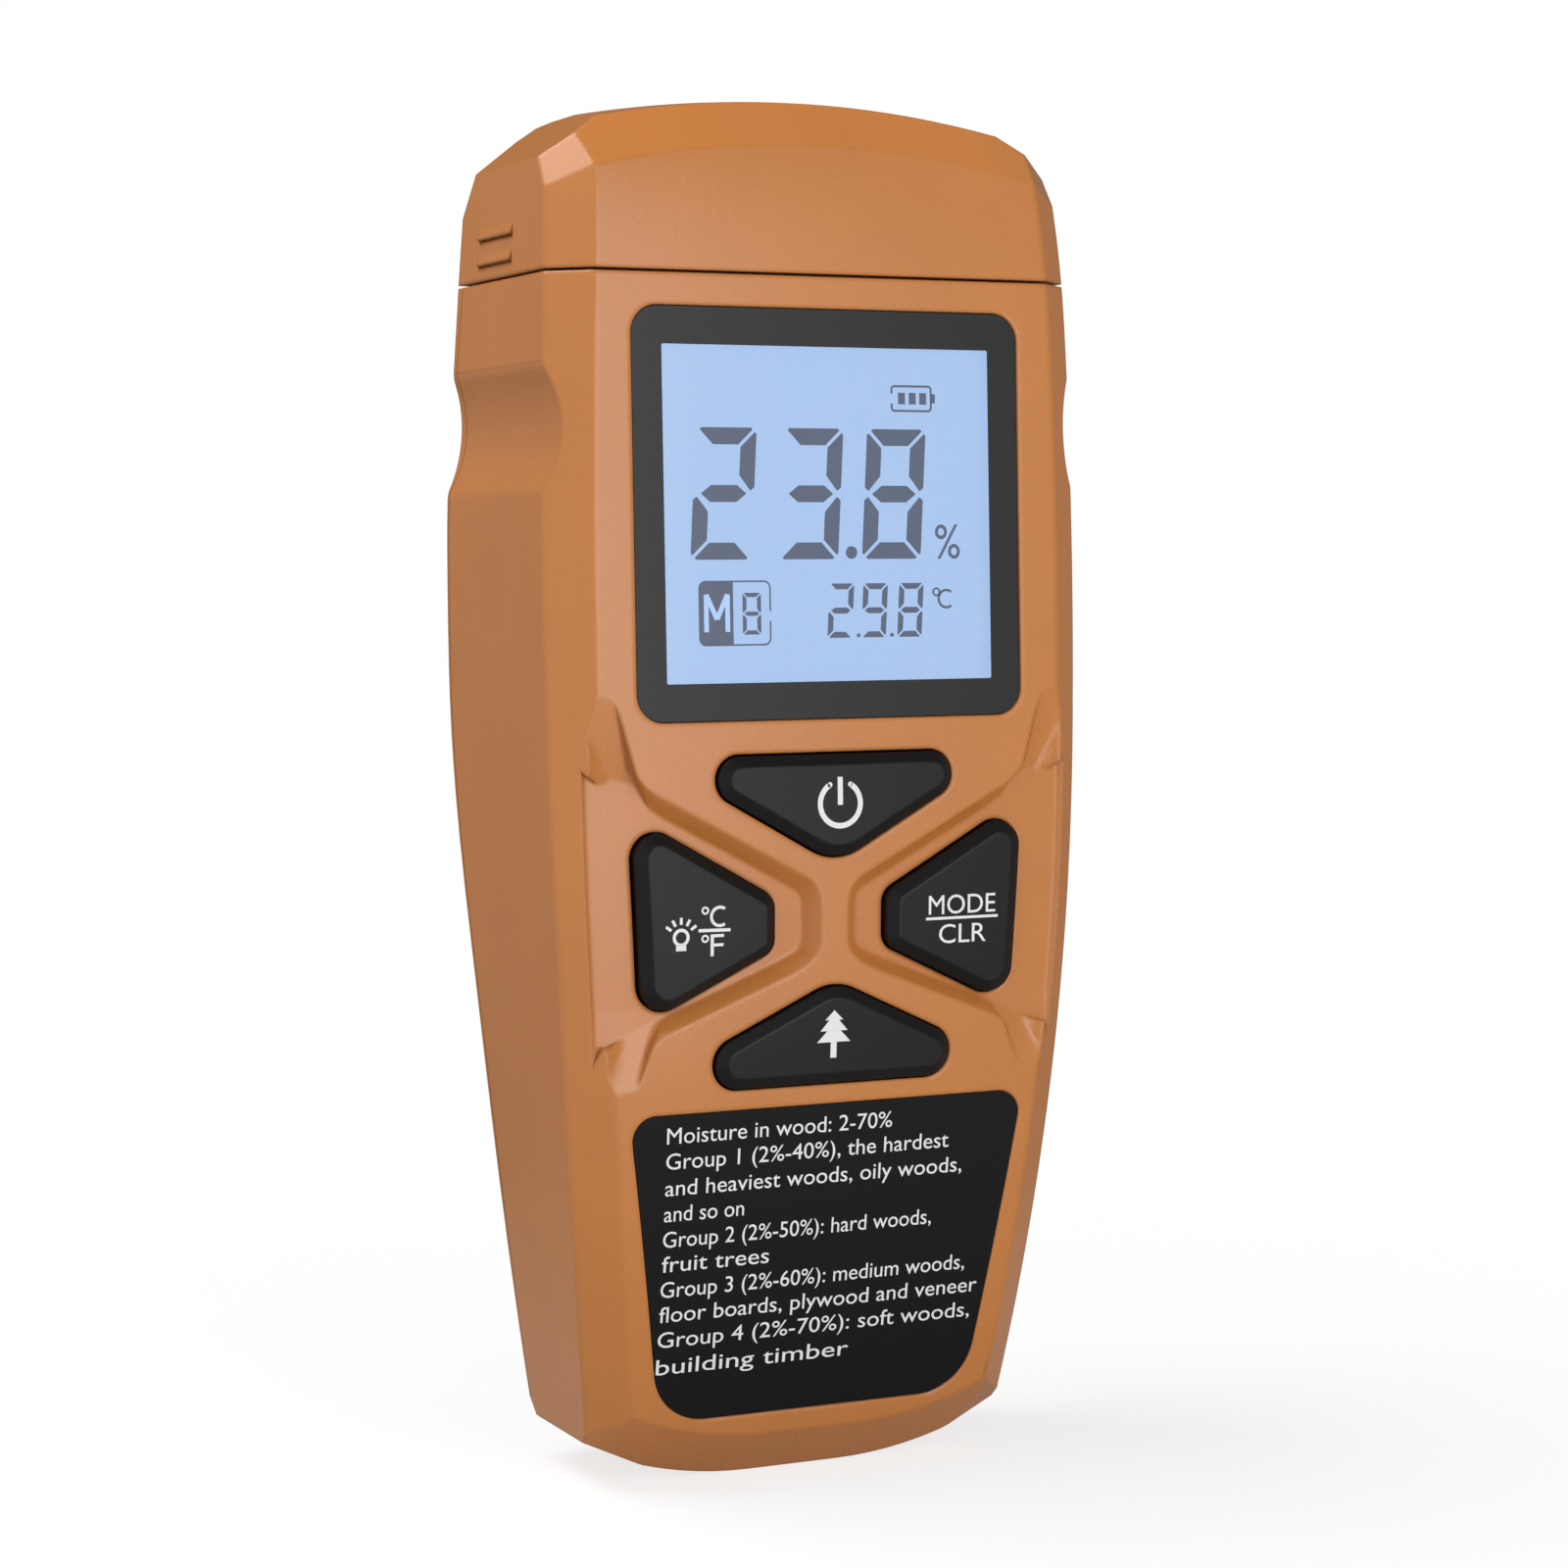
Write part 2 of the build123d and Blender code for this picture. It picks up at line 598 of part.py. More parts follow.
def circuit_board():
    """The board: narrower at its foot, with holes for its two screws."""
    foot, step = 14.2, 19.0
    points = [(-19.6, 118.4), (19.6, 118.4), (19.6, step), (foot, step), (foot, 12.6), (-foot, 12.6),
              (-foot, step), (-19.6, step)]
    board = prism_y(rounded(points, [1.0] * len(points)), *BOARD_Y)
    board = board - [rod_y(sign * BOARD_SCREW[0], BOARD_SCREW[1], SCREW_R + 0.15, -9, 0) for sign in (-1, 1)]
    return board


def board_screws():
    """Two small screws that hold the board to the front shell."""
    x, z = BOARD_SCREW
    return [pan_screw(sign * x, z, BOARD_Y[1], 3.4) for sign in (-1, 1)]


def pan_screw(x, z, seat, length):
    """A pan-head screw with a cross recess, its head towards +Y."""
    screw = rod_y(x, z, SCREW_R - 0.03, seat - length, seat) + rod_y(x, z, HEAD_R, seat, seat + 1.4)
    rim = screw.edges().filter_by(GeomType.CIRCLE).sort_by(Axis.Y)[-1]
    screw = fillet(rim, 0.5)
    for width, height in ((0.5, 2.4), (2.4, 0.5)):
        screw = screw - block(x - width / 2, x + width / 2, seat + 0.7, seat + 2,
                              z - height / 2, z + height / 2)
    return screw


def case_screws():
    """Four screws that close the case from behind."""
    return [pan_screw(x, z, SPLIT_Y + 1.6, 10.0) for x, z in screw_places()]


def tact_switches():
    """One push switch behind each button."""
    switches = []
    for x, z in BUTTON_CENTRES.values():
        body = block(x - 3, x + 3, BOARD_Y[0] - SWITCH_HEIGHT + 1, BOARD_Y[0], z - 3, z + 3)
        switches.append(body + rod_y(x, z, 1.75, BOARD_Y[0] - SWITCH_HEIGHT, BOARD_Y[0] - 1))
    return switches


def main_chip():
    """The processor, with a row of legs on each side."""
    y = BOARD_Y[1]
    chip = block(-4, 4, y + 0.15, y + 1.5, 84, 92)
    legs = []
    for step in range(8):
        at = -3.15 + step * 0.9
        legs.append(block(at - 0.18, at + 0.18, y, y + 0.6, 83.0, 93.0))
        legs.append(block(-5, 5, y, y + 0.6, 88 + at - 0.18, 88 + at + 0.18))
    return chip + legs


def board_parts():
    """Small resistors and capacitors beside the chip."""
    y = BOARD_Y[1]
    parts = []
    for column in range(3):
        for row in range(5):
            x = -15.5 + column * 3.0
            z = 80.0 + row * 3.4
            parts.append(block(x - 0.8, x + 0.8, y, y + 0.7, z - 0.45, z + 0.45))
    return parts


def buzzer():
    """Round sounder with a small hole."""
    can = rod_y(12.0, 90.0, 5.0, BOARD_Y[1], BOARD_Y[1] + 4.2)
    can = fillet(can.edges().sort_by(Axis.Y)[-1], 0.5)
    return can - rod_y(12.0, 90.0, 0.9, BOARD_Y[1] + 3.0, BOARD_Y[1] + 5)


def temperature_sensor():
    """A bead on two short legs."""
    y = BOARD_Y[1]
    bead = Pos(-13.0, y + 3.4, 104.0) * Sphere(1.3)
    legs = [rod_y(-13.0 + dx, 104.0, 0.25, y, y + 3.0) for dx in (-0.6, 0.6)]
    return bead + legs


# ---- pins -------------------------------------------------------------------

def pin_block():
    """The insulating block that carries the pins and guides the cap."""
    middle = (BLOCK_DEPTH[0] + BLOCK_DEPTH[1]) / 2
    depth = BLOCK_DEPTH[1] - BLOCK_DEPTH[0]
    collar = extrude(RectangleRounded(2 * BLOCK_HALF, depth, BLOCK_CORNER), amount=BLOCK_TOP - BLOCK_FOOT)
    collar = Pos(0, middle, BLOCK_FOOT) * collar
    collar = chamfer(collar.faces().sort_by(Axis.Z)[-1].edges(), 0.6)
    wide = BLOCK_HALF + 1.6
    flange = block(-wide, wide, BLOCK_DEPTH[0] + 3, BLOCK_DEPTH[1] + 0.6, 117.0, SHOULDER_Z - 0.1)
    hollow = block(-BLOCK_HALF + 2, BLOCK_HALF - 2, BOARD_Y[1] + 0.4, BLOCK_DEPTH[1] - 2, 109, 114.0)
    slot = block(-20.3, 20.3, -12, BOARD_Y[1] + 0.4, 109, SHOULDER_Z - 0.6)
    bores = [rod_z(sign * PIN_X, PIN_Y, 2.6, 112, BLOCK_TOP - 1.0) for sign in (-1, 1)]
    bores += [rod_z(sign * PIN_X, PIN_Y, 1.9, 112, BLOCK_TOP + 1.0) for sign in (-1, 1)]
    return collar + flange - hollow - slot - bores


def pin_sockets():
    """Brass inserts that grip the pins and take the leads."""
    return [rod_z(sign * PIN_X, PIN_Y, 2.6, 113.0, BLOCK_TOP - 1.0)
            - rod_z(sign * PIN_X, PIN_Y, PIN_R + 0.02, 115.0, BLOCK_TOP) for sign in (-1, 1)]


def pin_nuts():
    """Hexagonal collars that lock the pins against the block."""
    hexagon = RegularPolygon(2.7, 6) - Circle(PIN_R + 0.02)
    return [Pos(sign * PIN_X, PIN_Y, BLOCK_TOP) * extrude(hexagon, amount=1.8) for sign in (-1, 1)]


def measuring_pin(x):
    """A steel pin: threaded root, plain shank and a long point."""
    z = BLOCK_TOP
    shape = Polyline((0, 115.1), (PIN_R, 115.1), (PIN_R, z + 2.2), (1.1, z + 2.8), (1.1, z + 4.6),
                     (0.08, PIN_TIP_Z), (0, PIN_TIP_Z), close=True)
    return Pos(x, PIN_Y, 0) * revolve(Plane.XZ * make_face(shape.edges()), Axis.Z)


def lead(points, radius, bend):
    """A short insulated wire along straight runs and round bends."""
    path = FilletPolyline(*points, radius=bend)
    start = Plane(origin=path @ 0, z_dir=path % 0)
    return sweep(start * Circle(radius), path=path)


def pin_lead(sign):
    """The wire from one pin socket down to the board."""
    x = sign * PIN_X
    inner = sign * (PIN_X - 5.0)
    points = [(x, PIN_Y, 113.0), (x, PIN_Y, 107.0), (inner, PIN_Y, 101.0), (inner, BOARD_Y[1], 101.0)]
    return lead(points, 0.6, 2.0)


# ---- battery ----------------------------------------------------------------

def battery_cells():
    """Two cells side by side, one each way up."""
    body = CELL_LENGTH - 1.0
    cells = []
    for sign, low, up in ((-1, 16.2, True), (1, 12.95, False)):
        x = sign * CELL_X
        base = low if up else low + 1.0
        can = rod_z(x, CELL_Y, CELL_R, base, base + body)
        can = fillet(can.edges().filter_by(GeomType.CIRCLE), 0.5)
        nub = rod_z(x, CELL_Y, 2.6, base + body, base + body + 1) if up else rod_z(x, CELL_Y, 2.6, low, base)
        cells.append(can + nub)
    return cells


def battery_springs():
    """The coil contacts at the flat end of each cell."""
    springs = []
    for sign, z, length in ((-1, BAY_Z[0] + 0.65, 2.8), (1, 57.72, 2.75)):
        path = Helix(pitch=1.1, height=length, radius=3.0)
        start = Plane(origin=path @ 0, z_dir=path % 0)
        coil = sweep(start * Circle(0.25), path=path)
        springs.append(Pos(sign * CELL_X, CELL_Y, z) * coil)
    return springs


def battery_plates():
    """The plate that links the cells below, and the two tabs above."""
    low, high = BAY_Z
    link = block(-10.6, 10.6, CELL_Y - 4, CELL_Y + 4, low, low + 0.4)
    plates = [link]
    for sign in (-1, 1):
        x = sign * CELL_X
        plate = block(x - 4.4, x + 4.4, CELL_Y - 4, CELL_Y + 4, high - 0.4, high)
        plates.append(plate + block(x - 1.5, x + 1.5, 1.0, 1.4, high - 0.4, high + 4.4))
    return plates


def battery_lead(sign):
    """The wire from one upper tab to the board."""
    x = sign * TAB_X
    points = [(x, 1.2, BAY_Z[1] + 4.4), (x, 1.2, 71.0), (x, BOARD_Y[1], 71.0)]
    return lead(points, 0.55, 2.0)


def door_body(grow):
    """The plate of the battery door, grown by grow for its opening."""
    outline = Pos(0, (DOOR_Z[0] + DOOR_Z[1]) / 2) * RectangleRounded(
        2 * DOOR_HALF + 2 * grow, DOOR_Z[1] - DOOR_Z[0] + 2 * grow, 2.0)
    solid = prism_y(outline, 0, BIG / 2)
    inner = prism_x(side_profile(0, BACK_WALL - 0.1 + grow * 0.4), -BIG / 2, BIG / 2)
    outer = prism_x(side_profile(0, 0), -BIG / 2, BIG / 2)
    return (solid & outer) - inner


def battery_door():
    """The door, with hinge pins at its foot and grip grooves near its upper end."""
    foot = block(-BIG, BIG, 0, BIG, 0, HINGE[1]) - rod_x(FOOT_R, BIG)
    door = door_body(0) - foot
    door = door + (rod_x(HINGE_R, DOOR_HALF + 1.0) - rod_x(HINGE_R, DOOR_HALF - 0.5))
    for step in range(4):
        z = 54.0 + step * 1.8
        groove = block(-6, 6, 0, 30, z, z + 0.8)
        door = door - (groove - prism_x(side_profile(0, 0.5), -BIG / 2, BIG / 2))
    return door


def build_parts():
    """Every sub-part by name."""
    outer = skin(0, 0, 0)
    inner = skin(SIDE_WALL, FRONT_WALL, BACK_WALL)
    spare = skin(SIDE_WALL + 0.15, FRONT_WALL, BACK_WALL)
    front_zone = prism_x(side_profile(-5, REAR_DEPTH), -BIG / 2, BIG / 2)
    case = outer & block(-BIG, BIG, -BIG, BIG, -5, SEAM_Z - SEAM_GAP / 2)
    return {
        "front_case": front_case(case, inner, front_zone),
        "rear_case": rear_case(case, inner, spare, front_zone),
        "pin_cap": pin_cap(outer, inner),
        "display_lens": display_lens(),
        "display_mask": display_mask(),
        "lcd_panel": lcd_panel(),
        "backlight_plate": backlight_plate(),
        "backlight_lamp": backlight_lamp(),
        "contact_strip": contact_strip(),
        "display_frame": display_frame(),
        "power_button": button(inner, top_outline, 0, "power_button"),
        "species_button": button(inner, bottom_outline, 0, "species_button"),
        "light_unit_button": button(inner, left_outline, SIDE_BUTTON_SINK, "light_unit_button"),
        "mode_button": button(inner, right_outline, SIDE_BUTTON_SINK, "mode_button"),
        "information_label": information_label(),
        "circuit_board": circuit_board(),
        "main_chip": main_chip(),
        "board_parts": board_parts(),
        "tact_switches": tact_switches(),
        "buzzer": buzzer(),
        "temperature_sensor": temperature_sensor(),
        "pin_block": pin_block(),
        "pin_sockets": pin_sockets(),
        "pin_nuts": pin_nuts(),
        "left_pin": measuring_pin(-PIN_X),
        "right_pin": measuring_pin(PIN_X),
        "left_pin_lead": pin_lead(-1),
        "right_pin_lead": pin_lead(1),
        "battery_cells": battery_cells(),
        "battery_springs": battery_springs(),
        "battery_plates": battery_plates(),
        "left_battery_lead": battery_lead(-1),
        "right_battery_lead": battery_lead(1),
        "battery_door": battery_door(),
        "case_screws": case_screws(),
        "board_screws": board_screws(),
    }


def main():
    """Write one STEP file for each sub-part."""
    os.makedirs("parts", exist_ok=True)
    for name, shape in build_parts().items():
        if isinstance(shape, list):
            shape = Compound(children=shape)
        export_step(shape, f"parts/{name}.step")
        print(name, len(shape.solids()), round(shape.volume, 1), shape.is_valid)


if __name__ == "__main__":
    main()
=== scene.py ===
import json
import math

import bmesh
import bpy
from mathutils import Euler, Matrix, Vector
from mathutils.bvhtree import BVHTree


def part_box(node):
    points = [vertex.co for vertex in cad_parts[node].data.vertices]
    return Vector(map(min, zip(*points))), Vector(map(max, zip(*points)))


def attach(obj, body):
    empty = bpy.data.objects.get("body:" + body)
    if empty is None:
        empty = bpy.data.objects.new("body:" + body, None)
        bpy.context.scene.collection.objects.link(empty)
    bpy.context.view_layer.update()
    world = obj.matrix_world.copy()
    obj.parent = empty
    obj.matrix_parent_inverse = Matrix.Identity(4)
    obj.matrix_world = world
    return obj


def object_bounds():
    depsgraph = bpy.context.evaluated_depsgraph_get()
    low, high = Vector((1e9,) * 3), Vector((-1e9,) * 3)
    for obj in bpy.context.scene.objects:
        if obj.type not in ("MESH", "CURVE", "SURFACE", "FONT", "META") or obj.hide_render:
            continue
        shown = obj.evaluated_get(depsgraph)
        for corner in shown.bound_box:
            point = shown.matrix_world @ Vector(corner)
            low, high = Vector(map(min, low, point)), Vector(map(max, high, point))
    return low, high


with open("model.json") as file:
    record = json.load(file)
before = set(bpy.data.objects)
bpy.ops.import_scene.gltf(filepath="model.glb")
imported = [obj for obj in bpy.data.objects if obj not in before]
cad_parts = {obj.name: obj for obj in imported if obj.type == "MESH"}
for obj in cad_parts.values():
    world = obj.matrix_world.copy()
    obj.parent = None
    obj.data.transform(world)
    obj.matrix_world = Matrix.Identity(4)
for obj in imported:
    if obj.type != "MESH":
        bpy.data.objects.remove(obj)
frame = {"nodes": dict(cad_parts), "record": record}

# Looks of the pocket moisture meter. Metres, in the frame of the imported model:
# X to the right of the display, Y to the back, Z up. Print is drawn in millimetres of X and Z
# and then laid on the surface that it belongs to.

MM = 0.001
CAD_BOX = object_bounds()

# Print and display signs
PRINT_LIFT = 0.015 * MM      # gap between a surface and the print on it
PRINT_THICK = 0.02 * MM
RAY_START = -0.05            # in front of everything, where the rays that look for a surface start
CAPITAL = 0.729              # height of a capital letter in the built-in font of size 1

NOISE_RANGE = (0.3, 0.7)     # nearly all of a noise's values lie between these

# Colours, linear
ORANGE = (0.56, 0.203, 0.049)
BUTTON_BLACK = (0.0045, 0.0045, 0.0046)
BORDER_BLACK = (0.008, 0.008, 0.008)
LABEL_BLACK = (0.0018, 0.0018, 0.0019)
LCD_BLUE = (0.423, 0.597, 0.913)
LCD_GLOW = 1.11
LCD_INK = (0.15, 0.19, 0.29)
PRINT_WHITE = (0.83, 0.83, 0.83)
MASK_GREEN = (0.015, 0.13, 0.05)
WEAVE_GREEN = (0.02, 0.2, 0.08)
SLEEVE_DARK = (0.012, 0.014, 0.018)
SLEEVE_COPPER = (0.45, 0.21, 0.08)
SLEEVE_CHANGE = 12.0 * MM    # from the right of the cells to where the sleeves turn dark


# ---- node trees -------------------------------------------------------------

class Nodes:
    """A node tree, with short ways to add and join its nodes."""

    def __init__(self, tree):
        self.tree = tree

    def add(self, kind, **sockets):
        """Add a node and set or join its inputs, named with _ for a space."""
        node = self.tree.nodes.new("ShaderNode" + kind)
        for name, value in sockets.items():
            self.put(node.inputs[name.replace("_", " ")], value)
        return node

    def put(self, socket, value):
        """Give an input a number, a colour or an output to follow."""
        if isinstance(value, bpy.types.NodeSocket):
            self.tree.links.new(value, socket)
        elif isinstance(value, tuple) and len(socket.default_value) == 4:
            socket.default_value = (*value, 1.0)
        else:
            socket.default_value = value

    def span(self, value, low, high, to_low, to_high):
        """Map a value from one range to another, and no further."""
        node = self.add("MapRange", Value=value, From_Min=low, From_Max=high, To_Min=to_low, To_Max=to_high)
        return node.outputs["Result"]

    def math(self, operation, first, second):
        """Work out one number from two."""
        node = self.tree.nodes.new("ShaderNodeMath")
        node.operation = operation
        self.put(node.inputs[0], first)
        self.put(node.inputs[1], second)
        return node.outputs[0]

    def axes(self, vector):
        """The X, Y and Z of a vector."""
        return self.add("SeparateXYZ", Vector=vector).outputs


class Shader(Nodes):
    """The node tree of a surface material."""

    def __init__(self, name):
        self.material = bpy.data.materials.new(name)
        self.material.use_nodes = True
        super().__init__(self.material.node_tree)
        self.main = self.tree.nodes["Principled BSDF"]
        self.place = self.add("TexCoord").outputs["Object"]

    def set(self, **sockets):
        """Set or join inputs of the main shader."""
        for name, value in sockets.items():
            self.put(self.main.inputs[name.replace("_", " ")], value)
        return self

    def noise(self, size, detail=3.0, roughness=0.55):
        """Noise whose grains are about size metres across."""
        node = self.add("TexNoise", Vector=self.place, Scale=1 / size, Detail=detail, Roughness=roughness)
        return node.outputs["Fac"]

    def from_noise(self, noise, low, high):
        """Map the usual range of a noise to the range from low to high."""
        return self.span(noise, *NOISE_RANGE, low, high)

    def mix(self, factor, first, second):
        """Blend two colours; each is a colour or an output."""
        node = self.tree.nodes.new("ShaderNodeMix")
        node.data_type = "RGBA"
        self.put(node.inputs["Factor"], factor)
        self.put(node.inputs[6], first)
        self.put(node.inputs[7], second)
        return node.outputs[2]

    def mottled(self, colour, size, spread):
        """A colour with soft lighter and darker clouds."""
        cloud = self.from_noise(self.noise(size), 0.0, 1.0)
        return self.mix(cloud, shade(colour, 1 - spread), shade(colour, 1 + spread))

    def soft_edges(self, radius):
        """Normals that round every edge by a radius in metres."""
        node = self.add("Bevel", Radius=radius)
        node.samples = 6
        return node.outputs["Normal"]

    def edge_mask(self, rounded, full=0.12):
        """1 on the edges that the rounded normals turn over, 0 on the flats."""
        node = self.tree.nodes.new("ShaderNodeVectorMath")
        node.operation = "DOT_PRODUCT"
        self.put(node.inputs[0], rounded)
        self.put(node.inputs[1], self.add("NewGeometry").outputs["Normal"])
        return self.span(node.outputs["Value"], 1.0, 1.0 - full, 0.0, 1.0)

    def bump(self, height, distance, under=None):
        """A bump of that depth in metres, on top of other normals."""
        node = self.add("Bump", Height=height, Distance=distance)
        if under is not None:
            self.put(node.inputs["Normal"], under)
        return node.outputs["Normal"]


def shade(colour, factor):
    """A colour made lighter or darker."""
    return tuple(min(1.0, channel * factor) for channel in colour)


# ---- materials --------------------------------------------------------------

def moulded(name, colour, roughness, edge=0.3 * MM, edge_highlight=0.2):
    """Moulded plastic or rubber: spark-eroded grain, faint clouds, and soft edges that are a little worn
    smooth and lightened in colour as a painted highlight.
    """
    s = Shader(name)
    fine = s.noise(0.3 * MM, 4.0, 0.6)
    rounded = s.soft_edges(edge)
    edge_sheen_and_wear = s.edge_mask(rounded)
    body = s.mottled(colour, 12 * MM, 0.03)
    body = s.mix(s.span(fine, 0.35, 0.65, 0.0, 0.2), body, shade(colour, 0.95))
    # Painted highlight: the colour of the rounded edges is made lighter.
    body = s.mix(s.math("MULTIPLY", edge_sheen_and_wear, edge_highlight), body, shade(colour, 1.3))
    gloss = s.from_noise(fine, roughness - 0.03, roughness + 0.04)
    gloss = s.math("SUBTRACT", gloss, s.math("MULTIPLY", edge_sheen_and_wear, 0.05))
    return s.set(Base_Color=body, Roughness=gloss, Normal=s.bump(fine, 0.0012 * MM, rounded))


def rubber(name, colour):
    """Silicone rubber of the buttons: as moulded plastic, with a duller surface."""
    # The button rims get a strong painted highlight.
    return moulded(name, colour, roughness=0.38, edge=0.35 * MM, edge_highlight=0.5).set(Specular_IOR_Level=0.25)


def film(name, colour, roughness, shine):
    """Printed plastic film: almost even, with a trace of orange peel and fine rubbed marks."""
    s = Shader(name)
    peel = s.noise(1.5 * MM, 2.0)
    rubbed = s.noise(0.25 * MM, 5.0, 0.7)
    marks = s.span(rubbed, 0.45, 0.75, 0.0, 0.5)
    tone = s.mix(marks, s.mottled(colour, 9 * MM, 0.05), shade(colour, 1.25))
    gloss = s.from_noise(rubbed, roughness - 0.03, roughness + 0.04)
    s.set(Specular_IOR_Level=shine, Normal=s.bump(peel, 0.003 * MM, s.soft_edges(0.1 * MM)))
    return s.set(Base_Color=tone, Roughness=gloss)


def metal(name, colour, roughness):
    """Turned metal: fine scratches, slight tarnish and polished edges."""
    s = Shader(name)
    fine = s.noise(0.12 * MM, 5.0, 0.7)
    rounded = s.soft_edges(0.1 * MM)
    tone = s.mix(s.span(s.noise(2 * MM), 0.35, 0.7, 0.0, 1.0), shade(colour, 0.82), colour)
    tone = s.mix(s.math("MULTIPLY", s.edge_mask(rounded), 0.5), tone, shade(colour, 1.25))
    gloss = s.from_noise(fine, roughness, roughness + 0.15)
    return s.set(Metallic=1.0, Base_Color=tone, Roughness=gloss, Normal=s.bump(fine, 0.0015 * MM, rounded))


def printed(name, colour):
    """Screen print: a nearly even ink with a faint mottle and a dry surface."""
    s = Shader(name)
    roughness = 0.5
    fine = s.noise(0.15 * MM, 3.0)
    tone = s.mix(s.from_noise(fine, 0.0, 1.0), shade(colour, 0.95), shade(colour, 1.03))
    gloss = s.from_noise(fine, roughness - 0.05, roughness + 0.08)
    return s.set(Base_Color=tone, Roughness=gloss, Normal=s.bump(fine, 0.001 * MM))


def glowing(name, colour, strength):
    """A lit part of the display: an even glow with the faintest cloud of the light guide behind it."""
    s = Shader(name)
    cloud = s.from_noise(s.noise(18 * MM, 1.0), 0.0, 1.0)
    tone = s.mix(cloud, shade(colour, 0.985), shade(colour, 1.01))
    s.set(Emission_Color=tone, Emission_Strength=strength)
    return s.set(Base_Color=(0.01, 0.012, 0.015), Roughness=s.span(cloud, 0.0, 1.0, 0.5, 0.6))


def clear_sheet(name):
    """The display lens: thin clear acrylic."""
    s = Shader(name)
    gloss = s.from_noise(s.noise(1.2 * MM, 2.0), 0.06, 0.12)
    return s.set(Base_Color=(0.02, 0.02, 0.022), Alpha=0.1, IOR=1.49, Roughness=gloss)


def circuit(name):
    """Solder mask over a woven glass board."""
    s = Shader(name)
    weave = s.add("TexWave", Vector=s.place, Scale=1.2 / MM, Distortion=0.4).outputs["Fac"]
    mask = s.mottled(MASK_GREEN, 6 * MM, 0.12)
    tone = s.mix(s.span(weave, 0.0, 1.0, 0.0, 0.5), mask, WEAVE_GREEN)
    gloss = s.span(weave, 0.0, 1.0, 0.28, 0.36)
    return s.set(Base_Color=tone, Roughness=gloss, Normal=s.bump(weave, 0.002 * MM))


def sleeved(name):
    """Shrink sleeves of the cells: the right one copper, the left one dark but for a strip beside it."""
    s = Shader(name)
    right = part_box("battery_cells")[1].x
    across = s.axes(s.place)[0]
    copper = s.span(across, right - SLEEVE_CHANGE - 0.2 * MM, right - SLEEVE_CHANGE, 0.0, 1.0)
    tone = s.mix(copper, s.mottled(SLEEVE_DARK, 8 * MM, 0.1), s.mottled(SLEEVE_COPPER, 8 * MM, 0.06))
    crinkle = s.noise(0.8 * MM, 3.0)
    gloss = s.from_noise(crinkle, 0.2, 0.32)
    return s.set(Base_Color=tone, Roughness=gloss, Normal=s.bump(crinkle, 0.004 * MM, s.soft_edges(0.3 * MM)))


def make_materials():
    """Every CAD material, by the record's slot."""
    return {
        # The case's edges get a faint painted highlight.
        "case": moulded("case_plastic", ORANGE, roughness=0.27, edge=0.7 * MM, edge_highlight=0.12),
        "lens": clear_sheet("lens_acrylic"),
        "mask": film("border_print", BORDER_BLACK, roughness=0.4, shine=0.32),
        "lcd": glowing("display_glow", LCD_BLUE, LCD_GLOW),
        "light_guide": moulded("light_guide_plastic", (0.8, 0.85, 0.9), roughness=0.35),
        "white_plastic": moulded("white_plastic", (0.75, 0.75, 0.72), roughness=0.5),
        "rubber_dark": moulded("contact_rubber", (0.03, 0.03, 0.035), roughness=0.7),
        "button": rubber("button_rubber", BUTTON_BLACK),
        "label": film("label_film", LABEL_BLACK, roughness=0.6, shine=0.22),
        "board": circuit("board_mask"),
        "black_plastic": moulded("black_plastic", (0.02, 0.02, 0.022), roughness=0.45),
        "brass": metal("brass", (0.78, 0.55, 0.24), roughness=0.22),
        "steel": metal("steel", (0.62, 0.63, 0.65), roughness=0.2),
        "red_wire": moulded("red_insulation", (0.45, 0.02, 0.015), roughness=0.45),
        "black_wire": moulded("black_insulation", (0.02, 0.02, 0.02), roughness=0.45),
        "cell": sleeved("cell_sleeve"),
    }


MATERIALS = make_materials()
WHITE_INK = printed("white_print", PRINT_WHITE)
DISPLAY_INK = printed("display_ink", LCD_INK)
DISPLAY_CLEAR = glowing("display_clear", LCD_BLUE, LCD_GLOW)


def dress_nodes():
    """Give every CAD node the material of its slot."""
    for part in frame["record"]["subparts"]:
        node = frame["nodes"][part["node"]]
        node.data.materials.clear()
        node.data.materials.append(MATERIALS[part["material_slot"]].material)


# ---- print: flat closed shapes, drawn in millimetres of X and Z ---------------

def around(centre, angle, reach):
    """The point at an angle in degrees and a distance from a centre."""
    turn = math.radians(angle)
    return (centre[0] + reach * math.cos(turn), centre[1] + reach * math.sin(turn))


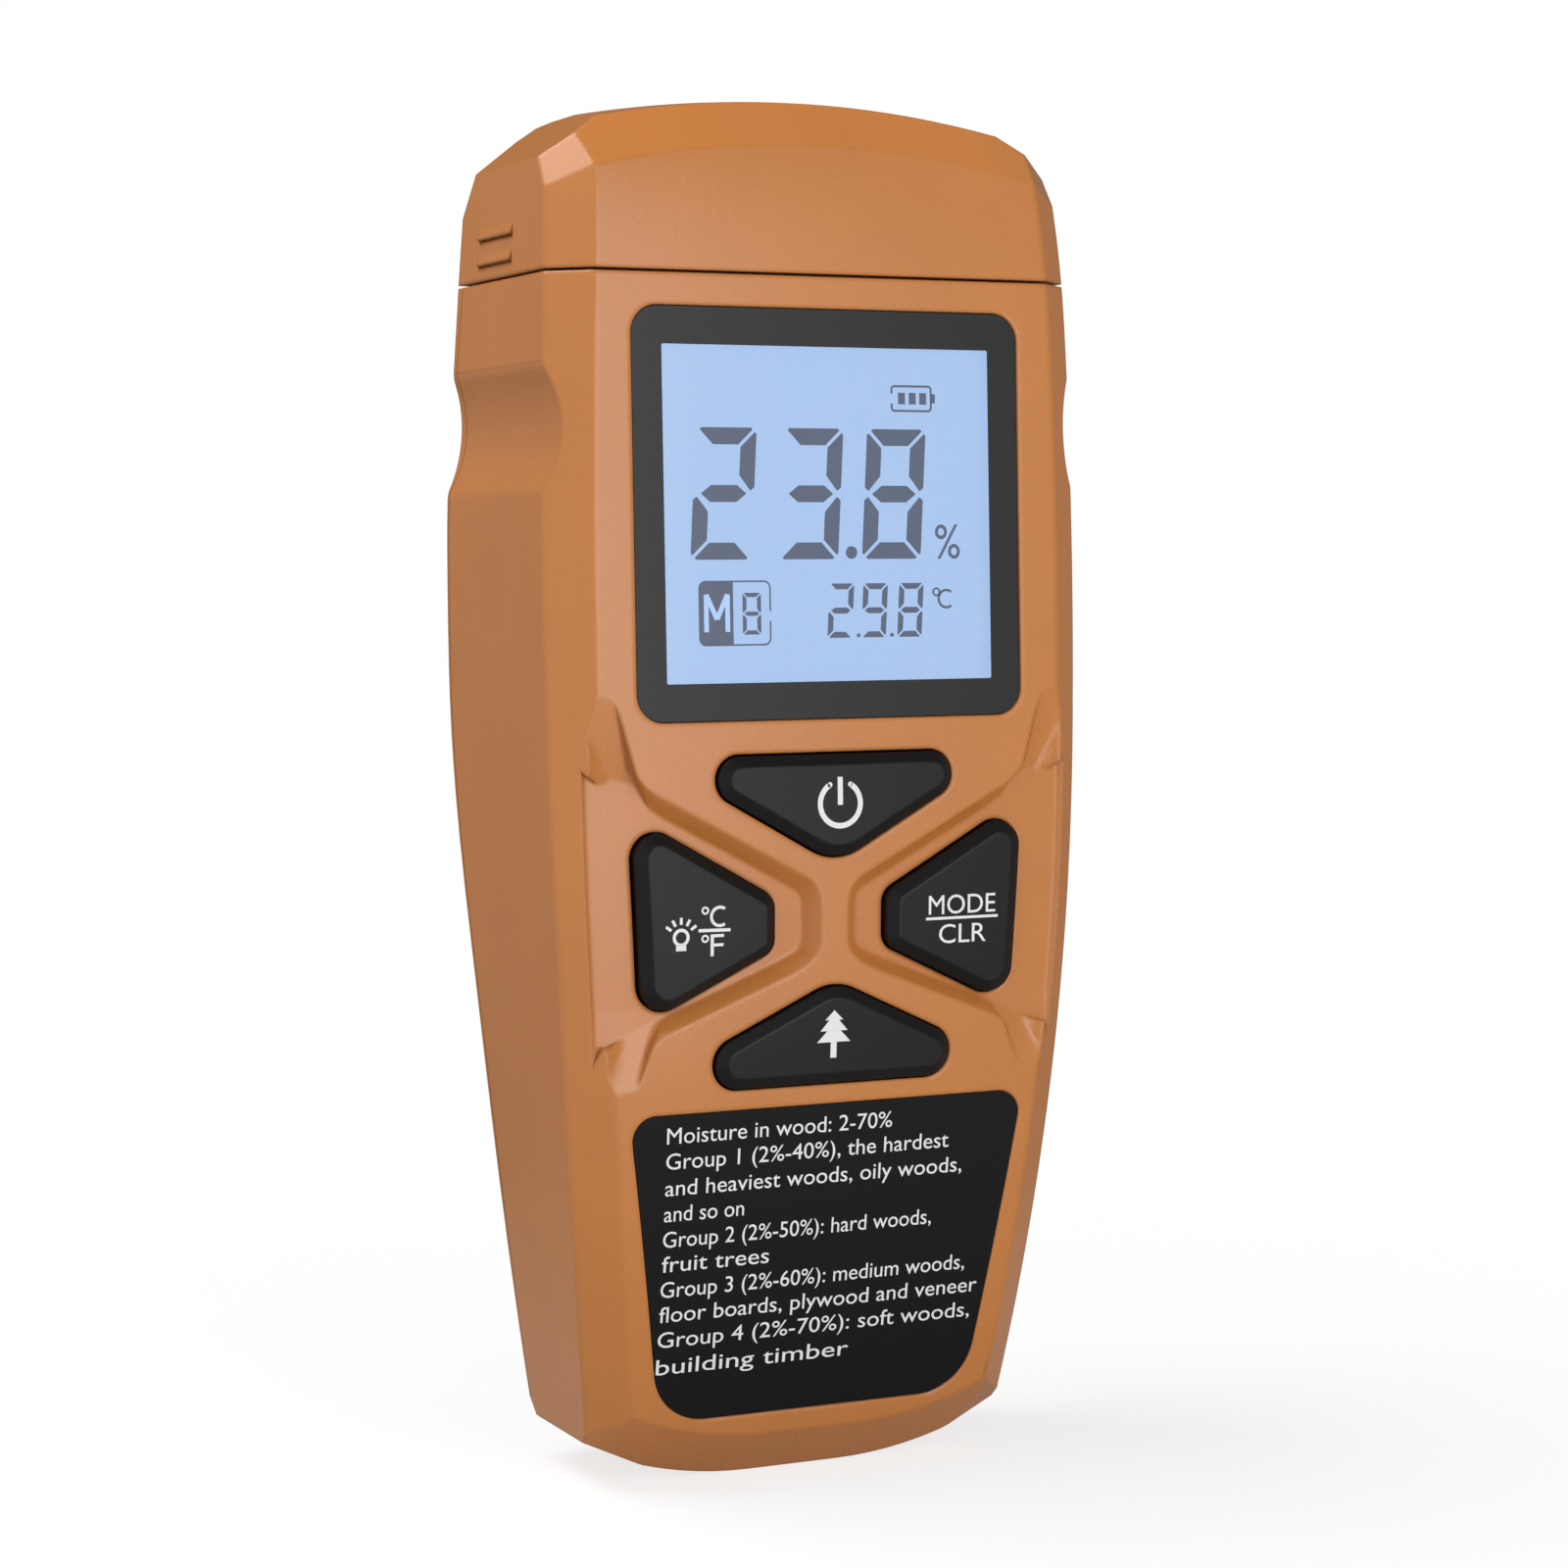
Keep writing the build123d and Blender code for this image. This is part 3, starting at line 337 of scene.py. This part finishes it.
class Print:
    """Shapes of one ink that lie on the front of one CAD node."""

    def __init__(self, node, lift=PRINT_LIFT):
        mesh = frame["nodes"][node].data
        corners = [v.co for v in mesh.vertices]
        self.surface = BVHTree.FromPolygons(corners, [p.vertices for p in mesh.polygons])
        self.shape = bmesh.new()
        self.lift = lift

    def prism(self, points):
        """A flat prism with this outline."""
        near = [self.shape.verts.new((x * MM, -PRINT_THICK, z * MM)) for x, z in points]
        far = [self.shape.verts.new((x * MM, 0.0, z * MM)) for x, z in points]
        self.shape.faces.new(near)
        self.shape.faces.new(far[::-1])
        for i in range(len(points)):
            j = (i + 1) % len(points)
            self.shape.faces.new((near[i], far[i], far[j], near[j]))

    def line(self, start, end, width, parts=6):
        """A straight stroke, in short pieces so that it follows a curved surface."""
        a = Vector(start)
        step = (Vector(end) - a) / parts
        side = Vector((-step.y, step.x)).normalized() * (width / 2)
        for i in range(parts):
            p = a + step * i
            q = a + step * (i + 1)
            self.prism([tuple(p - side), tuple(q - side), tuple(q + side), tuple(p + side)])

    def arc(self, centre, radius, width, start=0.0, end=360.0, parts=36):
        """A curved stroke between two angles in degrees, with its middle at the radius."""
        angles = [start + (end - start) * i / parts for i in range(parts + 1)]
        inside = [around(centre, angle, radius - width / 2) for angle in angles]
        outside = [around(centre, angle, radius + width / 2) for angle in angles]
        for i in range(parts):
            self.prism([inside[i], outside[i], outside[i + 1], inside[i + 1]])

    def disc(self, centre, radius, parts=28):
        """A filled circle."""
        self.prism([around(centre, 360 * i / parts, radius) for i in range(parts)])

    def words(self, text, left, right, base, height):
        """Words in the built-in font, fitted between left and right, with capitals of that height."""
        curve = bpy.data.curves.new("words", "FONT")
        curve.body = text
        curve.size = height / CAPITAL
        curve.extrude = PRINT_THICK / MM / 2
        curve.resolution_u = 4
        holder = bpy.data.objects.new("words", curve)
        bpy.context.scene.collection.objects.link(holder)
        ready = holder.evaluated_get(bpy.context.evaluated_depsgraph_get())
        mesh = bpy.data.meshes.new_from_object(ready)
        low = min(v.co.x for v in mesh.vertices)
        high = max(v.co.x for v in mesh.vertices)
        stretch = (right - left) / (high - low)
        for vert in mesh.vertices:
            x, up, out = vert.co
            vert.co = (((x - low) * stretch + left) * MM, -out * MM - PRINT_THICK / 2, (up + base) * MM)
        self.shape.from_mesh(mesh)
        bpy.data.objects.remove(holder)
        bpy.data.curves.remove(curve)
        bpy.data.meshes.remove(mesh)

    def finish(self, name, ink, body):
        """Lay the shapes on the surface and make them a piece that rides on a body."""
        for vert in self.shape.verts:
            start = Vector((vert.co.x, RAY_START, vert.co.z))
            vert.co.y += self.surface.ray_cast(start, Vector((0, 1, 0)))[0].y - self.lift
        bmesh.ops.remove_doubles(self.shape, verts=self.shape.verts, dist=1e-7)
        bmesh.ops.recalc_face_normals(self.shape, faces=self.shape.faces)
        mesh = bpy.data.meshes.new(name)
        self.shape.to_mesh(mesh)
        self.shape.free()
        mesh.materials.append(ink.material)
        piece = bpy.data.objects.new(name, mesh)
        bpy.context.scene.collection.objects.link(piece)
        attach(piece, body)


# ---- display ------------------------------------------------------------------

DIGIT_BASE = 94.09           # foot of the large digits
LARGE = {"width": 6.6, "height": 13.06, "thick": 1.68, "gap": 0.36}
SMALL = {"width": 2.75, "height": 5.45, "thick": 0.6, "gap": 0.2}
TINY = {"width": 2.0, "height": 4.14, "thick": 0.42, "gap": 0.14}
DIGIT_LEAN = math.tan(math.radians(3.5))
SEGMENTS = {"2": "abged", "3": "abgcd", "8": "abcdefg", "9": "abcdfg"}


def digit_outlines(width, height, thick, gap):
    """Outlines of the seven segments, a at the top and then clockwise, with g in the middle."""
    clear = gap * 0.7
    nick = thick * 0.22
    middle = height / 2
    near = thick * 0.5
    slope = thick * 0.62
    top = [
        (clear + nick, height),
        (width - clear - nick, height),
        (width - clear - nick / 2, height - nick / 2),
        (width - clear - thick, height - thick),
        (clear + thick, height - thick),
        (clear + nick / 2, height - nick / 2),
    ]
    waist = middle + clear / 2
    left = [
        (0, height - clear - nick),
        (nick / 2, height - clear - nick / 2),
        (thick, height - clear - thick),
        (thick, waist + thick),
        (thick * 0.25, waist + thick * 0.1),
        (0, waist + thick * 0.3),
    ]
    bar = [
        (near, middle),
        (near + slope, middle + thick / 2),
        (width - near - slope, middle + thick / 2),
        (width - near, middle),
        (width - near - slope, middle - thick / 2),
        (near + slope, middle - thick / 2),
    ]
    return {
        "a": top,
        "b": [(width - x, z) for x, z in left],
        "c": [(width - x, height - z) for x, z in left],
        "d": [(x, height - z) for x, z in top],
        "e": [(x, height - z) for x, z in left],
        "f": left,
        "g": bar,
    }


def add_digit(ink, digit, left, base, size, lean=DIGIT_LEAN):
    """A leaning seven-segment digit whose lower left corner is at (left, base)."""
    outlines = digit_outlines(**size)
    for name in SEGMENTS[digit]:
        ink.prism([(left + x + z * lean, base + z) for x, z in outlines[name]])


def reading(ink):
    """The large reading with its point and its percent sign."""
    for digit, left in (("2", -14.75), ("3", -5.2), ("8", 4.06)):
        add_digit(ink, digit, left, DIGIT_BASE, LARGE)
    ink.disc((2.9, DIGIT_BASE + 0.66), 0.64)
    ink.words("%", 12.36, 15.19, DIGIT_BASE + 0.02, 3.66)


def temperature(ink):
    """The small air temperature below."""
    base = 86.2
    for digit, left in (("2", 0.07), ("9", 3.85), ("8", 7.9)):
        add_digit(ink, digit, left, base, SMALL)
    for x in (3.55, 7.3):
        ink.disc((x, base + 0.22), 0.21)
    ink.arc((12.42, 90.72), 0.36, 0.2)
    ink.arc((13.55, 90.02), 0.88, 0.26, 50, 310)


def battery_sign(ink):
    """A battery with three bars."""
    left, right, low, high = 7.65, 12.1, 109.02, 111.5
    corner = 0.35
    stroke = 0.22
    ink.line((left + corner, high), (right - corner, high), stroke)
    ink.line((left + corner, low), (right - corner, low), stroke)
    ink.line((right, low + corner), (right, high - corner), stroke)
    ink.line((left, high - corner), (left, high - 0.75), stroke)
    ink.line((left, low + corner), (left, low + 0.75), stroke)
    ink.arc((right - corner, high - corner), corner, stroke, 0, 90, 8)
    ink.arc((left + corner, high - corner), corner, stroke, 90, 180, 8)
    ink.arc((left + corner, low + corner), corner, stroke, 180, 270, 8)
    ink.arc((right - corner, low + corner), corner, stroke, 270, 360, 8)
    ink.line((right + 0.27, low + 0.8), (right + 0.27, high - 0.75), 0.4)
    for x in (8.78, 10.0, 11.18):
        ink.line((x, 109.68), (x, 110.85), 0.78)


def group_box(ink, clear):
    """The wood-group box: a dark half with a light letter, and an outlined half with a digit."""
    left, split, right = -13.95, -10.22, -6.1
    low, high = 85.55, 92.02
    corner = 0.75
    stroke = 0.17
    dark = [(split, low), (split, high)]
    for centre, start in (((left + corner, high - corner), 90), ((left + corner, low + corner), 180)):
        dark += [around(centre, start + 15 * i, corner) for i in range(7)]
    ink.prism(dark)
    half = stroke / 2
    ink.line((split, high - half), (right - corner, high - half), stroke)
    ink.line((split, low + half), (right - corner, low + half), stroke)
    ink.arc((right - corner, high - corner), corner - half, stroke, 0, 90, 8)
    ink.arc((right - corner, low + corner), corner - half, stroke, 270, 360, 8)
    ink.line((right - half, high - corner), (right - half, 88.95), stroke)
    ink.line((right - half, 88.0), (right - half, low + corner), stroke)
    add_digit(ink, "8", -9.2, 86.65, TINY, 0.0)
    letter = ((-13.15, 86.95), (-13.15, 90.65), (-12.0, 88.2), (-10.85, 90.65), (-10.85, 86.95))
    for start, end in zip(letter, letter[1:]):
        clear.line(start, end, 0.5, 1)


def display_signs():
    """Everything that the display shows."""
    ink = Print("lcd_panel")
    clear = Print("lcd_panel", PRINT_LIFT + PRINT_THICK + 0.01 * MM)
    reading(ink)
    temperature(ink)
    battery_sign(ink)
    group_box(ink, clear)
    ink.finish("display_signs", DISPLAY_INK, "case")
    clear.finish("display_letter", DISPLAY_CLEAR, "case")


# ---- legends on the buttons -----------------------------------------------------

def power_legend():
    """A broken ring with a bar through its gap."""
    ink = Print("power_button")
    centre = (0.0, 69.73)
    radius = 2.22
    stroke = 0.56
    gap = 31.0
    ink.arc(centre, radius, stroke, 90 + gap, 450 - gap)
    for angle in (90 + gap, 90 - gap):
        ink.disc(around(centre, angle, radius), stroke / 2, 12)
    bar_low, bar_high = 69.6, 72.4
    ink.line((0.0, bar_low), (0.0, bar_high), stroke)
    ink.finish("power_legend", WHITE_INK, "power_button_body")


def lamp_sign(ink):
    """A shining lamp: a ring, its socket and five rays."""
    lamp = (-16.76, 56.95)
    ray_start, ray_end = 1.28, 1.98
    ink.arc(lamp, 0.74, 0.33)
    ink.prism([(-17.32, 55.62), (-16.2, 55.62), (-16.24, 56.35), (-17.28, 56.35)])
    for angle in (35, 62, 90, 118, 145):
        ink.line(around(lamp, angle, ray_start), around(lamp, angle, ray_end), 0.3)


def unit_signs(ink):
    """Degrees Celsius above a line, degrees Fahrenheit below it."""
    ink.line((-14.9, 57.55), (-11.45, 57.5), 0.32)
    for degree in ((-14.18, 59.52), (-14.18, 56.72)):
        ink.arc(degree, 0.31, 0.2, parts=20)
    ink.arc((-12.6, 58.88), 0.92, 0.3, 55, 305)
    ink.line((-13.42, 54.95), (-13.42, 57.12), 0.34)
    ink.line((-13.4, 56.97), (-12.15, 56.97), 0.3)
    ink.line((-13.4, 56.05), (-12.2, 56.05), 0.3)


def light_unit_legend():
    """A shining lamp, and the two temperature units."""
    ink = Print("light_unit_button")
    lamp_sign(ink)
    unit_signs(ink)
    ink.finish("light_unit_legend", WHITE_INK, "light_unit_button_body")


def mode_legend():
    """The mode and clear words, one above the other."""
    ink = Print("mode_button")
    ink.words("MODE", 10.6, 18.25, 57.95, 2.05)
    ink.line((10.3, 57.52), (18.55, 57.52), 0.28, 12)
    ink.words("CLR", 11.8, 17.2, 54.95, 2.05)
    ink.finish("mode_legend", WHITE_INK, "mode_button_body")


def species_legend():
    """A fir tree in three tiers."""
    ink = Print("species_button")
    middle = -0.5
    apart = 0.001            # keeps the two top corners of a pointed tier apart
    # Each tier's top and its half width there, then its foot and its half width there
    tiers = ((48.93, 0.0, 47.95, 1.0), (48.2, 0.3, 46.85, 1.5), (47.2, 0.4, 45.7, 1.85))
    for top, top_half, foot, half in tiers:
        left_side = [(middle - top_half, top), (middle - half, foot)]
        right_side = [(middle + half, foot), (middle + top_half + apart, top)]
        ink.prism(left_side + right_side)
    ink.line((middle, 44.1), (middle, 45.75), 0.66)
    ink.finish("species_legend", WHITE_INK, "species_button_body")


# ---- information label ------------------------------------------------------------

LABEL_LEFT = -17.9
LABEL_CAPITAL = 1.72
# Each line's words, its base and its right end
LABEL_LINES = (
    ("Moisture in wood: 2-70%", 36.3, 7.0),
    ("Group 1 (2%-40%), the hardest", 33.7, 13.6),
    ("and heaviest woods, oily woods,", 31.0, 15.25),
    (" and so on", 28.35, -9.2),
    ("Group 2 (2%-50%): hard woods,", 25.7, 12.05),
    ("fruit trees", 23.15, -6.15),
    ("Group 3 (2%-60%): medium woods,", 20.5, 16.3),
    ("floor boards, plywood and veneer", 17.9, 17.95),
    ("Group 4 (2%-70%): soft woods,", 15.25, 17.3),
    ("building timber", 12.4, 3.5),
)


def label_print():
    """Plain words about wood groups."""
    ink = Print("information_label")
    for text, base, right in LABEL_LINES:
        ink.words(text, LABEL_LEFT, right, base, LABEL_CAPITAL)
    ink.finish("label_print", WHITE_INK, "case")


dress_nodes()
display_signs()
power_legend()
light_unit_legend()
mode_legend()
species_legend()
label_print()


# ---- stage, light and camera ------------------------------------------------------

# Metres and watts
FLOOR_REACH = 0.16
FLOOR_SOLID = 0.05           # the floor fades out into the white surround beyond this
FLOOR_GONE = FLOOR_REACH * 0.97
FLOOR_TONE = 0.3
FLOOR_GLOW = 0.75            # glow that the camera sees
FLOOR_BOUNCE = 0.2           # glow that lights the object

LEFT_LIGHT = 0.7             # brightness of the surround on each side
RIGHT_LIGHT = 0.22
FRONT_LIGHT = 0.41
BACK_LIGHT = 0.02

FRONT_BOX = {"place": (0.09, -0.5, 0.145), "target": (0.09, 0.0, 0.145), "size": (0.2, 0.49), "power": 1.4}
TOP_BOX = {"place": (-0.25, 0.12, 0.62), "target": (0.0, 0.0, 0.08), "size": (0.4, 0.4), "power": 2.66}

CAMERA_PLACE = (-0.15234, -0.33433, 0.09429)
CAMERA_DIP = 3.676           # degrees below level
CAMERA_TURN = -24.771        # degrees from straight ahead
CAMERA_ROLL = -0.266
CAMERA_LENS = 80.98          # millimetres
CAMERA_SENSOR = 36.0


def add_floor():
    """A plain pale round floor that fades out into the surround."""
    shape = bmesh.new()
    bmesh.ops.create_circle(shape, cap_ends=True, segments=96, radius=FLOOR_REACH)
    mesh = bpy.data.meshes.new("floor")
    shape.to_mesh(mesh)
    shape.free()
    floor = bpy.data.objects.new("floor", mesh)
    bpy.context.scene.collection.objects.link(floor)
    floor.location.z = CAD_BOX[0][2]
    s = Shader("floor_paint")
    grain = s.noise(0.8 * MM, 3.0)
    tone = s.mix(s.from_noise(grain, 0.0, 1.0), (FLOOR_TONE * 0.98,) * 3, (FLOOR_TONE,) * 3)
    seen = s.add("LightPath").outputs["Is Camera Ray"]
    s.set(Base_Color=tone, Roughness=0.9, Specular_IOR_Level=0.0, Emission_Color=(1.0, 1.0, 1.0))
    s.set(Emission_Strength=s.span(seen, 0.0, 1.0, FLOOR_BOUNCE, FLOOR_GLOW))
    reach = s.add("VectorMath")
    reach.operation = "LENGTH"
    s.put(reach.inputs[0], s.place)
    s.set(Alpha=s.span(reach.outputs["Value"], FLOOR_SOLID, FLOOR_GONE, 1.0, 0.0))
    floor.data.materials.append(s.material)


def add_area(name, place, target, size, power):
    """A soft box aimed at a point."""
    light = bpy.data.lights.new(name, "AREA")
    light.shape = "RECTANGLE"
    light.size, light.size_y = size
    light.energy = power
    holder = bpy.data.objects.new(name, light)
    bpy.context.scene.collection.objects.link(holder)
    holder.location = place
    holder.rotation_euler = (Vector(target) - Vector(place)).to_track_quat("-Z", "Y").to_euler()
    holder.visible_camera = False


def add_world():
    """A white surround that lights the left most, then the front, then the right, and the back hardly."""
    world = bpy.data.worlds.new("surround")
    bpy.context.scene.world = world
    world.use_nodes = True
    n = Nodes(world.node_tree)
    x, y, _ = n.axes(n.add("TexCoord").outputs["Generated"])
    light = n.math("ADD", n.span(x, -1.0, 0.0, LEFT_LIGHT, 0.0), n.span(x, 0.0, 1.0, 0.0, RIGHT_LIGHT))
    light = n.math("ADD", light, n.span(y, -1.0, 0.0, FRONT_LIGHT, BACK_LIGHT))
    lighting = n.add("Background", Color=(1.0, 1.0, 1.0), Strength=light)
    backdrop = n.add("Background", Color=(1.0, 1.0, 1.0), Strength=1.0)
    both = n.tree.nodes.new("ShaderNodeMixShader")
    n.put(both.inputs[0], n.add("LightPath").outputs["Is Camera Ray"])
    n.put(both.inputs[1], lighting.outputs[0])
    n.put(both.inputs[2], backdrop.outputs[0])
    n.put(world.node_tree.nodes["World Output"].inputs["Surface"], both.outputs[0])


def add_camera():
    """The camera stands to the left, a little above the middle, and looks slightly down."""
    camera = bpy.data.objects.new("camera", bpy.data.cameras.new("camera"))
    bpy.context.scene.collection.objects.link(camera)
    camera.data.lens = CAMERA_LENS
    camera.data.sensor_width = CAMERA_SENSOR
    camera.data.clip_start = 0.01
    camera.location = CAMERA_PLACE
    aim = Euler((math.radians(90 - CAMERA_DIP), 0, math.radians(CAMERA_TURN)), "XYZ")
    turn = aim.to_matrix().to_4x4() @ Matrix.Rotation(math.radians(CAMERA_ROLL), 4, "Z")
    camera.rotation_euler = turn.to_euler()
    bpy.context.scene.camera = camera


add_floor()
add_world()
add_area("front_box", **FRONT_BOX)
add_area("top_box", **TOP_BOX)
add_camera()
bpy.context.scene.view_settings.view_transform = "Standard"
